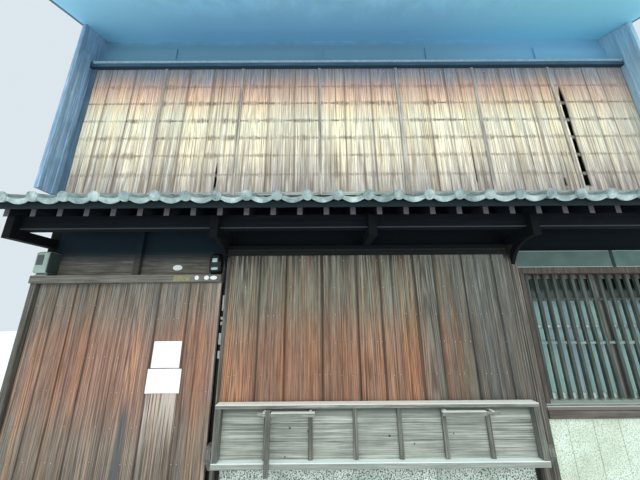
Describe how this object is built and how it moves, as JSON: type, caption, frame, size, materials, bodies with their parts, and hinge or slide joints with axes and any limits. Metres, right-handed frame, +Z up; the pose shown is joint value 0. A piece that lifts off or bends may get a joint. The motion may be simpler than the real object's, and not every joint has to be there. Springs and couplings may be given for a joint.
{
  "type": "machiya townhouse",
  "caption": "Two-storey timber townhouse of a row: tiled pent roof, sliding board doors, lattice window, fold-down bench, closed board shutters above, plain party walls.",
  "frame": {"origin": "on the ground, in the middle of the building's footprint", "axes": "+Z up, street front faces -Y, +X to the right seen from the street"},
  "size_m": [6.468, 7.6164, 6.5775],
  "materials": {
    "stone": "rough dressed plinth",
    "dark_wood": "weathered, nearly black",
    "grey_wood": "silver-grey weathered",
    "board_wood": "red-brown boards with bleached grey tops",
    "bleached_wood": "sun-bleached cedar boards",
    "plain_wood": "planed, worn",
    "earth": "clay plaster",
    "render": "rough render",
    "plaster": "smooth pale plaster",
    "tile": "smoked clay tile, silver-grey",
    "glass": "old window glass",
    "meter_plastic": "aged cream",
    "lamp_metal": "black, dull"
  },
  "bodies": {
    "house": {"foundation": "stone", "ground_posts": "dark_wood", "upper_posts": "dark_wood", "party_wall_left": "earth", "party_wall_right": "earth", "front_storey_beam": "dark_wood", "front_wall_plate": "dark_wood", "rear_beams": "dark_wood", "upper_floor": "plain_wood", "entrance_lintel": "grey_wood", "entrance_threshold": "grey_wood", "entrance_jamb": "grey_wood", "entrance_transom": "dark_wood", "shop_head_beam": "grey_wood", "shop_stiles": "grey_wood", "shop_shutter_left": "board_wood", "shop_shutter_middle": "board_wood", "shop_shutter_right": "board_wood", "apron_beams": "grey_wood", "front_dado": "render", "window_frame": "grey_wood", "window_lattice": "grey_wood", "window_sashes": "plain_wood", "window_glass": "glass", "window_plaster_strip": "plaster", "front_head_boards": "dark_wood", "bench_lugs": "grey_wood", "pent_brackets": "dark_wood", "pent_outrigger": "dark_wood", "pent_rafters": "dark_wood", "pent_boards": "dark_wood", "pent_tiles": "tile", "upper_sill": "grey_wood", "upper_shutters": "bleached_wood", "upper_cover_strips": "bleached_wood", "upper_head_rail": "grey_wood", "upper_head_wall": "dark_wood", "wing_board_left": "dark_wood", "wing_board_right": "dark_wood", "roof_purlins": "dark_wood", "roof_frame_front": "dark_wood", "roof_frame_rear": "dark_wood", "roof_tiles_front": "tile", "roof_tiles_rear": "tile", "roof_ridge": "tile", "meter_box": "meter_plastic", "gate_lamp": "lamp_metal", "rear_lower_wall": "earth", "rear_shutters": "board_wood", "rear_upper_shutters": "bleached_wood", "rear_upper_rails": "grey_wood", "rear_pent_timber": "dark_wood", "rear_pent_tiles": "tile"},
    "entrance_door_left": {"entrance_door_left": "board_wood"},
    "entrance_door_right": {"entrance_door_right": "board_wood"},
    "bench": {"bench_frame": "grey_wood", "bench_boards": "board_wood", "bench_axles": "dark_wood"},
    "bench_leg": {"bench_leg": "grey_wood"}
  },
  "joints": [
    {"name": "entrance_door_left_slide", "type": "slide", "parent": "house", "child": "entrance_door_left", "axis": [-1, 0, 0], "range_m": [-0.86, 0]},
    {"name": "entrance_door_right_slide", "type": "slide", "parent": "house", "child": "entrance_door_right", "axis": [-1, 0, 0], "range_m": [0, 0.86]},
    {"name": "bench_fold", "type": "hinge", "parent": "house", "child": "bench", "pos_m": [0, -2.905, 0.51], "axis": [1, 0, 0], "range_deg": [0, 90]},
    {"name": "bench_leg_swing", "type": "hinge", "parent": "bench", "child": "bench_leg", "pos_m": [-0.8909, -2.971, 0.789], "axis": [1, 0, 0], "range_deg": [-90, 0]}
  ],
  "couplings": [
    {"joint": "bench_leg_swing", "follows": "bench_fold", "ratio": -1}
  ]
}
